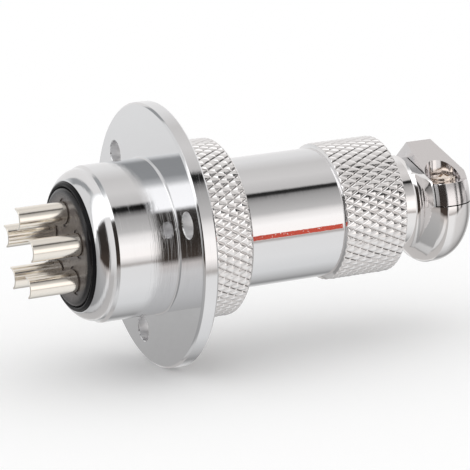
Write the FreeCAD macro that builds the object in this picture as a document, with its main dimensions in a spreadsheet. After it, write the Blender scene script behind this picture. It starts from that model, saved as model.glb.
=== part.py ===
import FreeCAD, Part
import math
import os
import re
import Sketcher

# Round five-contact multipole connector, receptacle and plug mated.
# X runs along the connector axis from the solder cups to the cable clamp, Z is the
# clamp screws' direction, and the origin is the centre of the flange's seating face.

os.makedirs("parts", exist_ok=True)
doc = FreeCAD.newDocument("circular_connector")

SIZES = {
    # receptacle shell, one turned piece
    "flange_radius": 17.0,
    "flange_thickness": 2.1,
    "flange_chamfer": 0.3,
    "flange_holes": 3,
    "flange_hole_radius": 1.65,
    "flange_hole_circle": 13.2,
    "flange_hole_angle": 15.0,
    "barrel_radius": 9.97,
    "barrel_length": 8.0,
    "barrel_bevel_length": 0.4,
    "barrel_bevel_depth": 0.27,
    "nose_length": 2.14,
    "nose_round": 2.7,
    "mouth_land": 0.22,
    "mouth_step": 0.25,
    "mouth_bore_depth": 2.5,
    "socket_bore_radius": 8.0,
    "front_wall": 1.45,
    "thread_relief_depth": 0.5,
    "thread_relief_length": 0.9,
    "front_length": 5.2,
    "rim_chamfer": 0.35,
    "key_width": 1.6,
    "key_height": 0.45,
    "key_length": 6.0,
    "key_angle": 3.0,
    "key_side_gap": 0.15,
    "key_top_gap": 0.1,
    # receptacle insulator and its retaining ring
    "ring_channel": 0.7,
    "insulator_proud": 0.66,
    "insulator_flange_length": 2.2,
    "insulator_body_length": 5.0,
    "insulator_edge": 0.6,
    "contact_recess_radius": 1.85,
    "contact_recess_depth": 0.15,
    "ring_section": 0.33,
    "fit_gap": 0.04,
    # contacts
    "contacts": 5,
    "contact_circle": 4.5,
    "contact_angle": 15.0,
    "cup_radius": 1.45,
    "cup_bore_radius": 1.19,
    "cup_length": 6.5,
    "cup_closed_length": 1.15,
    "cup_cut_offset": 0.2,
    "cup_cut_angle": 10.0,
    "cutter_radius": 1.5,
    "contact_shank_radius": 1.25,
    "pin_radius": 1.0,
    "pin_length": 9.0,
    "socket_wall": 0.25,
    "contact_gap": 0.05,
    # plug shell
    "nose_clearance": 0.15,
    "nose_wall": 0.65,
    "nose_lip_height": 0.35,
    "nose_lip_length": 0.3,
    "nose_tube_length": 9.5,
    "collar_clearance": 0.4,
    "collar_thickness": 0.75,
    "seat_gap": 0.05,
    "plug_wall": 1.19,
    "plug_barrel_length": 15.7,
    "rear_wall": 0.69,
    "rear_bore_length": 4.8,
    "plug_insulator_length": 11.9,
    "plug_cup_length": 5.4,
    "snap_ring_width": 0.7,
    "snap_ring_wall": 1.0,
    "snap_ring_depth": 0.35,
    "snap_ring_gap": 3.0,
    # coupling nut
    "nut_wall": 1.9,
    "nut_front_gap": 0.45,
    "thread_clearance": 0.15,
    "nut_lip_thickness": 1.45,
    "nut_chamfer": 0.45,
    "nut_clearance": 0.08,
    # knurls of the nut and of the backshell's band
    "nut_diamonds": 64,
    "band_diamonds": 50,
    "diamond_length": 2.13,
    "knurl_depth": 0.17,
    "knurl_groove_share": 0.26,
    "knurl_skim": 0.01,
    "knurl_overrun": 0.5,
    # backshell with the lower jaw of the cable clamp
    "band_step": 0.61,
    "band_length": 8.8,
    "band_chamfer": 0.3,
    "spigot_length": 4.5,
    "spigot_gap": 0.05,
    "spigot_wall": 1.05,
    "chamber_length": 11.3,
    "neck_radius": 5.65,
    "neck_length": 2.9,
    "neck_bore_step": 0.2,
    "flare_length": 1.05,
    "flare_radius": 6.65,
    "flare_round": 1.6,
    "crease_radius": 8.1,
    "crease_length": 2.3,
    "bead_radius": 8.67,
    "bead_length": 8.1,
    "bead_lead": 0.95,
    "bead_lead_round": 1.08,
    "bead_flat": 0.85,
    "bead_end_radius": 4.67,
    "bead_round": 4.0,
    "cable_radius": 4.0,
    "roof_height": 5.55,
    "roof_drop": 2.3,
    "roof_half_width": 7.0,
    "roof_start": 0.5,
    # saddle and its screws
    "saddle_start": 2.0,
    "saddle_gap": 0.1,
    "split_gap": 0.15,
    "saddle_height": 7.55,
    "saddle_crest_length": 3.6,
    "saddle_tail_drop": 4.3,
    "saddle_slope": 0.75,
    "lug_height": 3.0,
    "screw_station": 4.35,
    "screw_spread": 5.4,
    "screw_well_radius": 2.35,
    "screw_clearance": 0.15,
    "screw_radius": 0.95,
    "screw_thread_gap": 0.05,
    "screw_length": 8.0,
    "screw_point": 0.2,
    "screw_head_radius": 1.6,
    "screw_head_height": 1.0,
    "screw_head_edge": 0.45,
    "screw_head_round": 2.6,
    "recess_width": 0.42,
    "recess_length": 1.8,
    "recess_depth": 0.6,
    "tapped_depth": 6.0,
}

sheet = doc.addObject("Spreadsheet::Sheet", "Sizes")
for row, (alias, size) in enumerate(SIZES.items(), 1):
    sheet.set(f"A{row}", alias)
    sheet.set(f"B{row}", str(size))
    sheet.setAlias(f"B{row}", alias)
doc.recompute()

# Radii of the pieces that fit in each other, from the receptacle's bore outwards.
MOUTH_BORE = "(socket_bore_radius + mouth_step)"
FACE_RADIUS = f"({MOUTH_BORE} - ring_channel)"
THREAD_RADIUS = "(socket_bore_radius + front_wall)"
RELIEF_RADIUS = f"({THREAD_RADIUS} - thread_relief_depth)"
NUT_BORE = f"({THREAD_RADIUS} + thread_clearance)"
NUT_RADIUS = f"({NUT_BORE} + nut_wall)"
COLLAR_RADIUS = f"({NUT_BORE} - collar_clearance)"
NOSE_RADIUS = "(socket_bore_radius - nose_clearance)"
NOSE_BORE = f"({NOSE_RADIUS} - nose_wall)"
PLUG_RADIUS = f"({NOSE_BORE} + plug_wall)"
REAR_BORE = f"({PLUG_RADIUS} - rear_wall)"
SPIGOT_RADIUS = f"({REAR_BORE} - spigot_gap)"
CHAMBER_RADIUS = f"({SPIGOT_RADIUS} - spigot_wall)"
BAND_RADIUS = f"({PLUG_RADIUS} + band_step)"
NECK_BORE = "(cable_radius + neck_bore_step)"
SOCKET_RADIUS = "(pin_radius + contact_gap + socket_wall)"
SNAP_OUTER = f"({NOSE_BORE} + snap_ring_depth - fit_gap)"
SNAP_INNER = f"({NOSE_BORE} + snap_ring_depth - snap_ring_wall)"

# Stations along X, each worked out from the pieces that stand before it.
STEP = "(-barrel_length - barrel_bevel_length)"
MOUTH = f"({STEP} - nose_length)"
MOUTH_SHOULDER = f"({MOUTH} + mouth_bore_depth)"
CUP_SEAT = f"({MOUTH} - insulator_proud)"
INSULATOR_STEP = f"({MOUTH_SHOULDER} - insulator_flange_length)"
INSULATOR_FRONT = f"({MOUTH_SHOULDER} + insulator_body_length)"
RIM = "(flange_thickness + front_length)"
COLLAR = f"({RIM} + seat_gap)"
COLLAR_BACK = f"({COLLAR} + collar_thickness)"
NOSE_FRONT = f"({COLLAR} - nose_tube_length)"
PLUG_SEAT = f"({NOSE_FRONT} + nose_lip_length)"
PLUG_INSULATOR_BACK = f"({PLUG_SEAT} + plug_insulator_length)"
NUT_FRONT = "(flange_thickness + nut_front_gap)"
NUT_LIP = f"({COLLAR_BACK} + seat_gap)"
NUT_BACK = f"({NUT_LIP} + nut_lip_thickness)"
BARREL_END = f"({COLLAR_BACK} + plug_barrel_length)"
BAND_END = f"({BARREL_END} + band_length)"
NECK_END = f"({BAND_END} + neck_length)"
PARTING = f"({NECK_END} + saddle_start - saddle_gap)"
SADDLE_FRONT = f"({NECK_END} + saddle_start)"
BEAD_TOP = f"({NECK_END} + crease_length + bead_lead)"
BEAD_END = f"({NECK_END} + bead_length)"
SCREW_X = f"({NECK_END} + screw_station)"


SAME_POINT = 1e-5


def value(size):
    """The number that an expression in the sheet's names has now."""
    return float(sheet.evalExpression(size))


def bound(size):
    """The same expression as another object writes it."""
    return re.sub(r"\b[a-z]\w*_\w+\b|\bcontacts\b", lambda name: "Sizes." + name.group(0), size)


def sketch_on(body, role, outlines, offset=None, turn=None, hinge=FreeCAD.Vector(0, 0, 1)):
    """A sketch on one of the body's own planes. Each outline is a closed loop of corners
    (across, up), and a corner with a third and fourth entry is reached by an arc of
    that radius, turning to the left (1) or to the right (-1). The sketch may be turned
    about its own normal or another of its axes."""
    sketch = body.newObject("Sketcher::SketchObject", body.Name + "_sketch")
    plane = [item for item in body.Origin.OriginFeatures if item.Role == role][0]
    sketch.AttachmentSupport = [(plane, "")]
    sketch.MapMode = "FlatFace"
    if offset:
        sketch.setExpression("AttachmentOffset.Base.z", bound(offset))
    if turn:
        rotation = FreeCAD.Rotation(hinge, value(turn))
        sketch.AttachmentOffset = FreeCAD.Placement(FreeCAD.Vector(), rotation)
        sketch.setExpression("AttachmentOffset.Rotation.Angle", f"({bound(turn)}) * 1 deg")
    for outline in outlines:
        first = sketch.GeometryCount
        total = len(outline)
        points = [FreeCAD.Vector(value(corner[0]), value(corner[1]), 0) for corner in outline]
        for index, start in enumerate(points):
            target = outline[(index + 1) % total]
            end = points[(index + 1) % total]
            if len(target) > 2:
                sketch.addGeometry(arc_between(start, end, value(target[2]), target[3]), False)
            else:
                sketch.addGeometry(Part.LineSegment(start, end), False)
        for index in range(total):
            here = first + index
            ahead = first + (index + 1) % total
            curved = len(outline[(index + 1) % total]) > 2
            turns_right = curved and outline[(index + 1) % total][3] < 0
            curved_ahead = len(outline[(index + 2) % total]) > 2
            right_ahead = curved_ahead and outline[(index + 2) % total][3] < 0
            tail = 1 if turns_right else 2
            head = 2 if right_ahead else 1
            sketch.addConstraint(Sketcher.Constraint("Coincident", here, tail, ahead, head))
            if curved:
                mark = sketch.addConstraint(
                    Sketcher.Constraint("Radius", here, value(outline[(index + 1) % total][2])))
                sketch.setExpression(f"Constraints[{mark}]", bound(outline[(index + 1) % total][2]))
            for kind, size in (("DistanceX", outline[(index + 1) % total][0]),
                               ("DistanceY", outline[(index + 1) % total][1])):
                mark = sketch.addConstraint(Sketcher.Constraint(kind, -1, 1, here, tail, value(size)))
                sketch.setExpression(f"Constraints[{mark}]", bound(size))
    return sketch


def arc_between(start, end, radius, side):
    """The short arc from start to end whose centre lies to the left (1) or right (-1)."""
    chord = end - start
    middle = start + chord * 0.5
    across = FreeCAD.Vector(-chord.y, chord.x, 0).normalize()
    rise = max(radius ** 2 - (chord.Length / 2) ** 2, 0) ** 0.5
    centre = middle + across * rise * side
    crown = middle - across * radius * side
    if rise > SAME_POINT:
        crown = centre + (middle - centre).normalize() * radius
    return Part.Arc(start, crown, end)


def turned(name, outline, axis="H_Axis", role="XY_Plane"):
    """A piece turned in a lathe from its half section."""
    body = doc.addObject("PartDesign::Body", name)
    body.Label = name
    sketch = sketch_on(body, role, [outline])
    turn = body.newObject("PartDesign::Revolution", name + "_turning")
    turn.Profile = sketch
    turn.ReferenceAxis = (sketch, [axis])
    turn.Angle = 360
    doc.recompute()
    return body


def padded(body, role, outlines, length, offset=None, turn=None):
    """Material added along the plane's normal."""
    pad = body.newObject("PartDesign::Pad", body.Name + "_pad")
    pad.Profile = sketch_on(body, role, outlines, offset, turn)
    pad.setExpression("Length", bound(length))
    doc.recompute()
    return pad


def pocketed(body, role, outlines, length, both=False, **placing):
    """Material cut away along the plane's normal, or to both sides of the plane."""
    before = body.Shape.Volume
    pocket = body.newObject("PartDesign::Pocket", body.Name + "_pocket")
    pocket.Profile = sketch_on(body, role, outlines, **placing)
    pocket.setExpression("Length", bound(length))
    pocket.Midplane = both
    pocket.Reversed = not both
    doc.recompute()
    if not body.Shape.Volume < before - SAME_POINT:
        raise RuntimeError(f"{pocket.Label} cuts nothing")
    return pocket


def circle_sketch(body, role, centres, radius, offset=None):
    """Round holes' outlines on one of the body's own planes."""
    sketch = sketch_on(body, role, [], offset)
    for across, up in centres:
        centre = FreeCAD.Vector(value(across), value(up), 0)
        here = sketch.addGeometry(Part.Circle(centre, FreeCAD.Vector(0, 0, 1), value(radius)), False)
        mark = sketch.addConstraint(Sketcher.Constraint("Radius", here, value(radius)))
        sketch.setExpression(f"Constraints[{mark}]", bound(radius))
        for kind, size in (("DistanceX", across), ("DistanceY", up)):
            mark = sketch.addConstraint(Sketcher.Constraint(kind, -1, 1, here, 3, value(size)))
            sketch.setExpression(f"Constraints[{mark}]", bound(size))
    return sketch


def drilled(body, role, centres, radius, length, offset=None):
    """Round holes along the plane's normal."""
    before = body.Shape.Volume
    pocket = body.newObject("PartDesign::Pocket", body.Name + "_holes")
    pocket.Profile = circle_sketch(body, role, centres, radius, offset)
    pocket.setExpression("Length", bound(length))
    pocket.Reversed = True
    doc.recompute()
    if not body.Shape.Volume < before - SAME_POINT:
        raise RuntimeError(f"{pocket.Label} cuts nothing")
    return pocket


def rectangle(left, low, right, high):
    """Corners of an upright rectangle."""
    return [(left, low), (right, low), (right, high), (left, high)]


def round_bar(x, radius, angle):
    """A point on a bar, at an angle from the side that faces -Y."""
    return FreeCAD.Vector(x, -radius * math.cos(angle), radius * math.sin(angle))


def flat(*corners):
    """A plane face between its corners."""
    return Part.Face(Part.makePolygon([*corners, corners[0]]))


def knurling_ring(name, start, end, radius, diamonds):
    """What the knurling wheels press from a bar: a ring whose inside has the grooves. The
    rows are numbered along the bar and the columns round it, two to each diamond."""
    depth, share = value("knurl_depth"), value("knurl_groove_share")
    around, overrun, x_first = int(value(diamonds)), value("knurl_overrun"), value(start)
    top_radius = value(radius) - value("knurl_skim")
    rows = round((value(end) - x_first) * 2 / value("diamond_length"))
    step = (value(end) - x_first) / rows
    half = math.pi / around
    reach, inset = step * (1 - share), half * (1 - share)
    middle_radius = top_radius * math.cos(inset)

    def valley(row, column):
        return round_bar(x_first + row * step, top_radius - depth, column * half)

    faces = []
    ends = {0: [], rows: []}
    for row in range(rows + 1):
        for column in range(row % 2, 2 * around, 2):
            x, angle = x_first + row * step, column * half
            left = round_bar(x, top_radius, angle + inset)
            right = round_bar(x, top_radius, angle - inset)
            above, below = valley(row, column + 1), valley(row, column - 1)
            tips = []
            for way in (1, -1):
                if 0 <= row + way <= rows:
                    tip = round_bar(x + way * reach, middle_radius, angle)
                    beyond = valley(row + way, column)
                    faces += [flat(beyond, above, left), flat(beyond, left, tip),
                              flat(beyond, tip, right), flat(beyond, right, below)]
                    tips.append(tip)
            faces.append(flat(left, tips[0], right, *tips[1:]))
            if row in ends:
                ends[row] += [below, right, left]
    outside = top_radius + overrun
    along = FreeCAD.Vector(1, 0, 0)
    for row, loop in ends.items():
        away = FreeCAD.Vector(overrun if row else -overrun, 0, 0)
        for here, ahead in zip(loop, loop[1:] + loop[:1]):
            faces.append(flat(here, ahead, ahead + away, here + away))
        shifted = [corner + away for corner in loop]
        centre = FreeCAD.Vector(shifted[0].x, 0, 0)
        rim = Part.Wire(Part.makeCircle(outside, centre, along))
        faces.append(Part.Face([rim, Part.makePolygon([*shifted, shifted[0]])]))
    wall = Part.makeCylinder(outside, rows * step + 2 * overrun,
                             FreeCAD.Vector(x_first - overrun, 0, 0), along)
    faces += [face for face in wall.Faces if isinstance(face.Surface, Part.Cylinder)]
    shell = Part.makeShell(faces)
    shell.sewShape(SAME_POINT)
    ring = doc.addObject("Part::Feature", name)
    ring.Shape = Part.Solid(shell)
    return ring


def knurled(name, blank, start, end, radius, diamonds):
    """The turned blank with its outside knurled between two stations."""
    piece = doc.addObject("Part::Cut", name)
    piece.Label = name
    piece.Base = blank
    piece.Tool = knurling_ring(name + "_knurling", start, end, radius, diamonds)
    doc.recompute()
    return piece


def placed(body, across, up):
    """Moves a piece made on the axis to its place beside the axis."""
    body.setExpression("Placement.Base.y", bound(across))
    body.setExpression("Placement.Base.z", bound(up))


# Receptacle shell: barrel, flange and threaded front are turned from one bar. The barrel
# goes through the panel, and the flange's three holes take its screws.
receptacle_shell = turned("receptacle_shell", [
    (MOUTH, MOUTH_BORE),
    (MOUTH_SHOULDER, MOUTH_BORE),
    (MOUTH_SHOULDER, "socket_bore_radius"),
    (RIM, "socket_bore_radius"),
    (RIM, f"{THREAD_RADIUS} - rim_chamfer"),
    (f"{RIM} - rim_chamfer", THREAD_RADIUS),
    ("flange_thickness + thread_relief_length", THREAD_RADIUS),
    ("flange_thickness + thread_relief_length", RELIEF_RADIUS),
    ("flange_thickness", RELIEF_RADIUS),
    ("flange_thickness", "flange_radius - flange_chamfer"),
    ("flange_thickness - flange_chamfer", "flange_radius"),
    ("flange_chamfer", "flange_radius"),
    ("0", "flange_radius - flange_chamfer"),
    ("0", "barrel_radius"),
    ("-barrel_length", "barrel_radius"),
    (STEP, "barrel_radius - barrel_bevel_depth"),
    (MOUTH, f"{MOUTH_BORE} + mouth_land", "nose_round", 1),
])
hole_pocket = drilled(
    receptacle_shell, "YZ_Plane",
    [("-flange_hole_circle * cos(flange_hole_angle * 1 deg)",
      "flange_hole_circle * sin(flange_hole_angle * 1 deg)")],
    "flange_hole_radius", "flange_thickness * 2", "-flange_thickness / 2")
hole_ring = receptacle_shell.newObject("PartDesign::PolarPattern", "flange_hole_ring")
hole_ring.Originals = [hole_pocket]
hole_ring.Axis = (receptacle_shell.Origin.OriginFeatures[0], [""])
hole_ring.Angle = 360
hole_ring.setExpression("Occurrences", bound("flange_holes"))
receptacle_shell.Tip = hole_ring
doc.recompute()

# The key rib stands in the bore and lines the plug up with the receptacle.
padded(receptacle_shell, "YZ_Plane",
       [rectangle("-socket_bore_radius - key_height / 2", "-key_width / 2",
                  "-socket_bore_radius + key_height", "key_width / 2")],
       "key_length", f"{RIM} - key_length - rim_chamfer", "key_angle")

# Receptacle insulator: a moulded disc with a flange that stops on the shell's shoulder.
receptacle_insulator = turned("receptacle_insulator", [
    (CUP_SEAT, "0"),
    (CUP_SEAT, f"{FACE_RADIUS} - insulator_edge"),
    (f"{CUP_SEAT} + insulator_edge", FACE_RADIUS, "insulator_edge", -1),
    (INSULATOR_STEP, FACE_RADIUS),
    (INSULATOR_STEP, f"{MOUTH_BORE} - fit_gap"),
    (MOUTH_SHOULDER, f"{MOUTH_BORE} - fit_gap"),
    (MOUTH_SHOULDER, "socket_bore_radius - fit_gap"),
    (INSULATOR_FRONT, "socket_bore_radius - fit_gap"),
    (INSULATOR_FRONT, "0"),
])

# Retaining ring: round black section that lies in the mouth against the insulator's step.
retaining_ring = doc.addObject("Part::Torus", "retaining_ring")
retaining_ring.Label = "retaining_ring"
retaining_ring.setExpression("Radius1", bound(f"({MOUTH_BORE} + {FACE_RADIUS}) / 2"))
retaining_ring.setExpression("Radius2", bound("ring_section"))
retaining_ring.Placement.Rotation = FreeCAD.Rotation(FreeCAD.Vector(0, 1, 0), 90)
retaining_ring.setExpression("Placement.Base.x", bound(f"{INSULATOR_STEP} - ring_section"))


def contact_place(index):
    """Across and up of one contact on the contact circle."""
    angle = f"(contact_angle + {index} * 360 / contacts) * 1 deg"
    return f"-contact_circle * cos({angle})", f"contact_circle * sin({angle})"


contact_places = [contact_place(index) for index in range(int(value("contacts")))]
drilled(receptacle_insulator, "YZ_Plane", contact_places, "contact_shank_radius + fit_gap / 2",
        f"{INSULATOR_FRONT} - {CUP_SEAT} + 2 * insulator_edge", f"{CUP_SEAT} - insulator_edge")
drilled(receptacle_insulator, "YZ_Plane", contact_places, "contact_recess_radius",
        "insulator_edge + contact_recess_depth", f"{CUP_SEAT} - insulator_edge")


def open_cup(body, tip, floor, outwards):
    """Mills one side of a solder cup away. The cutter leaves its round at the closed end."""
    far = f"{tip} + {outwards} * cup_radius"
    bend = f"{floor} + {outwards} * cutter_radius"
    corners = [(far, "-cup_cut_offset"), (bend, "-cup_cut_offset"),
               (floor, "cutter_radius - cup_cut_offset", "cutter_radius", -outwards),
               (floor, "2 * cup_radius"), (far, "2 * cup_radius")]
    pocketed(body, "XY_Plane", [corners], "4 * cup_radius", both=True,
             turn="-cup_cut_angle", hinge=FreeCAD.Vector(1, 0, 0))


# Pin contacts: each has its solder cup behind the insulator and its pin in the socket.
pin_contacts = []
cup_tip = f"({CUP_SEAT} - cup_length)"
cup_floor = f"({CUP_SEAT} - cup_closed_length)"
pin_tip = f"({INSULATOR_FRONT} + pin_length)"
for index, (across, up) in enumerate(contact_places, 1):
    contact = turned(f"pin_contact_{index}", [
        (cup_floor, "0"),
        (f"{cup_floor} - cup_bore_radius / 2", "cup_bore_radius"),
        (cup_tip, "cup_bore_radius"),
        (cup_tip, "cup_radius"),
        (CUP_SEAT, "cup_radius"),
        (CUP_SEAT, "contact_shank_radius"),
        (INSULATOR_FRONT, "contact_shank_radius"),
        (INSULATOR_FRONT, "pin_radius"),
        (f"{pin_tip} - pin_radius", "pin_radius"),
        (pin_tip, "0", "pin_radius", -1),
    ])
    open_cup(contact, cup_tip, cup_floor, -1)
    placed(contact, across, up)
    pin_contacts.append(contact)

# Plug shell: the nose enters the receptacle, the collar is pressed on its rim by the nut,
# and the smooth barrel carries the thread for the backshell.
plug_shell = turned("plug_shell", [
    (NOSE_FRONT, f"{NOSE_BORE} - nose_lip_height"),
    (PLUG_SEAT, f"{NOSE_BORE} - nose_lip_height"),
    (PLUG_SEAT, NOSE_BORE),
    (PLUG_INSULATOR_BACK, NOSE_BORE),
    (PLUG_INSULATOR_BACK, f"{NOSE_BORE} + snap_ring_depth"),
    (f"{PLUG_INSULATOR_BACK} + snap_ring_width", f"{NOSE_BORE} + snap_ring_depth"),
    (f"{PLUG_INSULATOR_BACK} + snap_ring_width", NOSE_BORE),
    (f"{BARREL_END} - rear_bore_length", NOSE_BORE),
    (f"{BARREL_END} - rear_bore_length", REAR_BORE),
    (BARREL_END, REAR_BORE),
    (BARREL_END, PLUG_RADIUS),
    (COLLAR_BACK, PLUG_RADIUS),
    (COLLAR_BACK, COLLAR_RADIUS),
    (COLLAR, COLLAR_RADIUS),
    (COLLAR, NOSE_RADIUS),
    (f"{NOSE_FRONT} + nose_lip_length", NOSE_RADIUS),
    (NOSE_FRONT, f"{NOSE_RADIUS} - nose_lip_length"),
])
pocketed(plug_shell, "YZ_Plane",
         [rectangle(f"-{NOSE_RADIUS} - key_height", "-key_width / 2 - key_side_gap",
                    "-socket_bore_radius + key_height + key_top_gap",
                    "key_width / 2 + key_side_gap")],
         f"{COLLAR} - {NOSE_FRONT}", offset=NOSE_FRONT, turn="key_angle")

# Plug insulator: carries the socket contacts and stops on the nose's inner lip.
plug_insulator = turned("plug_insulator", [
    (PLUG_SEAT, "0"),
    (PLUG_SEAT, f"{NOSE_BORE} - fit_gap"),
    (PLUG_INSULATOR_BACK, f"{NOSE_BORE} - fit_gap"),
    (PLUG_INSULATOR_BACK, "0"),
])
drilled(plug_insulator, "YZ_Plane", contact_places, f"{SOCKET_RADIUS} + fit_gap / 2",
        "plug_insulator_length + 2 * insulator_edge", f"{PLUG_SEAT} - insulator_edge")

# Snap ring: a split flat ring in the shell's groove behind the plug insulator.
snap_ring = turned("insulator_snap_ring", [
    (f"{PLUG_INSULATOR_BACK} + fit_gap", SNAP_INNER),
    (f"{PLUG_INSULATOR_BACK} + snap_ring_width - fit_gap", SNAP_INNER),
    (f"{PLUG_INSULATOR_BACK} + snap_ring_width - fit_gap", SNAP_OUTER),
    (f"{PLUG_INSULATOR_BACK} + fit_gap", SNAP_OUTER),
])
pocketed(snap_ring, "YZ_Plane",
         [rectangle("-snap_ring_gap / 2", "0", "snap_ring_gap / 2", f"2 * {NOSE_BORE}")],
         "3 * snap_ring_width", offset=f"{PLUG_INSULATOR_BACK} - snap_ring_width")

# Socket contacts: each takes a pin at the front and has a solder cup at the back.
socket_contacts = []
cup_tip = f"({PLUG_INSULATOR_BACK} + plug_cup_length)"
cup_floor = f"({PLUG_INSULATOR_BACK} + cup_closed_length)"
bore_end = f"({INSULATOR_FRONT} + pin_length + pin_radius)"
for index, (across, up) in enumerate(contact_places, 1):
    contact = turned(f"socket_contact_{index}", [
        (PLUG_SEAT, "pin_radius + contact_gap"),
        (bore_end, "pin_radius + contact_gap"),
        (f"{bore_end} + pin_radius / 2", "0"),
        (cup_floor, "0"),
        (f"{cup_floor} + cup_bore_radius / 2", "cup_bore_radius"),
        (cup_tip, "cup_bore_radius"),
        (cup_tip, "cup_radius"),
        (PLUG_INSULATOR_BACK, "cup_radius"),
        (PLUG_INSULATOR_BACK, SOCKET_RADIUS),
        (PLUG_SEAT, SOCKET_RADIUS),
    ])
    open_cup(contact, cup_tip, cup_floor, 1)
    placed(contact, across, up)
    socket_contacts.append(contact)

# Coupling nut: its thread runs on the receptacle's front and its lip draws the collar in.
nut_blank = turned("coupling_nut_blank", [
    (NUT_FRONT, NUT_BORE),
    (NUT_LIP, NUT_BORE),
    (NUT_LIP, f"{PLUG_RADIUS} + nut_clearance"),
    (NUT_BACK, f"{PLUG_RADIUS} + nut_clearance"),
    (NUT_BACK, f"{NUT_RADIUS} - nut_chamfer"),
    (f"{NUT_BACK} - nut_chamfer", NUT_RADIUS),
    (f"{NUT_FRONT} + nut_chamfer", NUT_RADIUS),
    (NUT_FRONT, f"{NUT_RADIUS} - nut_chamfer"),
])
coupling_nut = knurled("coupling_nut", nut_blank, NUT_FRONT, NUT_BACK, NUT_RADIUS, "nut_diamonds")

# Backshell: screws into the plug shell. Its knurled band, neck and the lower jaw of the
# cable clamp are one piece, and its chamber holds the wires.
CHAMBER_END = f"({BARREL_END} - spigot_length + chamber_length)"
BEAD = [
    (NECK_END, "neck_radius"),
    (f"{NECK_END} + flare_length", "flare_radius", "flare_round", 1),
    (f"{NECK_END} + crease_length", "crease_radius"),
    (BEAD_TOP, "bead_radius", "bead_lead_round", -1),
    (f"{BEAD_TOP} + bead_flat", "bead_radius"),
    (BEAD_END, "bead_end_radius", "bead_round", -1),
]
backshell_blank = turned("backshell_blank", [
    (f"{BARREL_END} - spigot_length", CHAMBER_RADIUS),
    (f"{BARREL_END} - spigot_length", SPIGOT_RADIUS),
    (BARREL_END, SPIGOT_RADIUS),
    (BARREL_END, f"{BAND_RADIUS} - band_chamfer"),
    (f"{BARREL_END} + band_chamfer", BAND_RADIUS),
    (f"{BAND_END} - band_chamfer", BAND_RADIUS),
    (BAND_END, f"{BAND_RADIUS} - band_chamfer"),
    (BAND_END, "neck_radius"),
] + BEAD + [
    (BEAD_END, "cable_radius"),
    (NECK_END, "cable_radius"),
    (NECK_END, NECK_BORE),
    (f"{CHAMBER_END} + ({CHAMBER_RADIUS} - {NECK_BORE}) / 2", NECK_BORE),
    (CHAMBER_END, CHAMBER_RADIUS),
])
pocketed(backshell_blank, "XZ_Plane",
         [rectangle(PARTING, "0", f"{BEAD_END} + bead_radius", "2 * bead_radius")],
         "4 * bead_radius", both=True)
ROOF_X = f"({NECK_END} + roof_start)"
pocketed(backshell_blank, "YZ_Plane",
         [[("0", "roof_height"), ("roof_half_width", "roof_height - roof_drop"),
           ("2 * bead_radius", "roof_height - roof_drop"), ("2 * bead_radius", "2 * bead_radius"),
           ("-2 * bead_radius", "2 * bead_radius"), ("-2 * bead_radius", "roof_height - roof_drop"),
           ("-roof_half_width", "roof_height - roof_drop")]],
         "2 * bead_radius", offset=ROOF_X)
screw_places = [(SCREW_X, "-screw_spread"), (SCREW_X, "screw_spread")]
drilled(backshell_blank, "XY_Plane", screw_places, "screw_radius + screw_thread_gap",
        "tapped_depth + split_gap", "-tapped_depth")
backshell = knurled("backshell", backshell_blank, BARREL_END, BAND_END, BAND_RADIUS,
                    "band_diamonds")

# Saddle: the loose upper jaw. Two slopes fall from its crest to the flat lugs, and each
# screw head sits in a round well.
clamp_saddle = turned("clamp_saddle", BEAD + [
    (BEAD_END, "cable_radius"),
    (NECK_END, "cable_radius"),
])
pocketed(clamp_saddle, "XZ_Plane",
         [rectangle(f"{NECK_END} - bead_radius", "-2 * bead_radius",
                    f"{BEAD_END} + bead_radius", "split_gap")],
         "4 * bead_radius", both=True)
pocketed(clamp_saddle, "XZ_Plane",
         [rectangle(f"{NECK_END} - bead_radius", "-2 * bead_radius", SADDLE_FRONT, "2 * bead_radius")],
         "4 * bead_radius", both=True)
CREST_END = f"({SADDLE_FRONT} + saddle_crest_length)"
pocketed(clamp_saddle, "XZ_Plane",
         [[(CREST_END, "saddle_height"), (BEAD_END, "saddle_height - saddle_tail_drop"),
           (f"{BEAD_END} + bead_radius", "saddle_height - saddle_tail_drop"),
           (f"{BEAD_END} + bead_radius", "2 * bead_radius"), (CREST_END, "2 * bead_radius")]],
         "4 * bead_radius", both=True)
LUG_EDGE = "((saddle_height - lug_height) / saddle_slope)"
pocketed(clamp_saddle, "YZ_Plane",
         [[("0", "saddle_height"), (LUG_EDGE, "lug_height"), ("2 * bead_radius", "lug_height"),
           ("2 * bead_radius", "2 * bead_radius"), ("-2 * bead_radius", "2 * bead_radius"),
           ("-2 * bead_radius", "lug_height"), (f"-{LUG_EDGE}", "lug_height")]],
         "2 * bead_length", offset=f"{NECK_END} - crease_length")
drilled(clamp_saddle, "XY_Plane", screw_places, "screw_well_radius", "2 * bead_radius", "lug_height")
drilled(clamp_saddle, "XY_Plane", screw_places, "screw_radius + screw_clearance", "2 * bead_radius",
        "-bead_radius")

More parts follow.
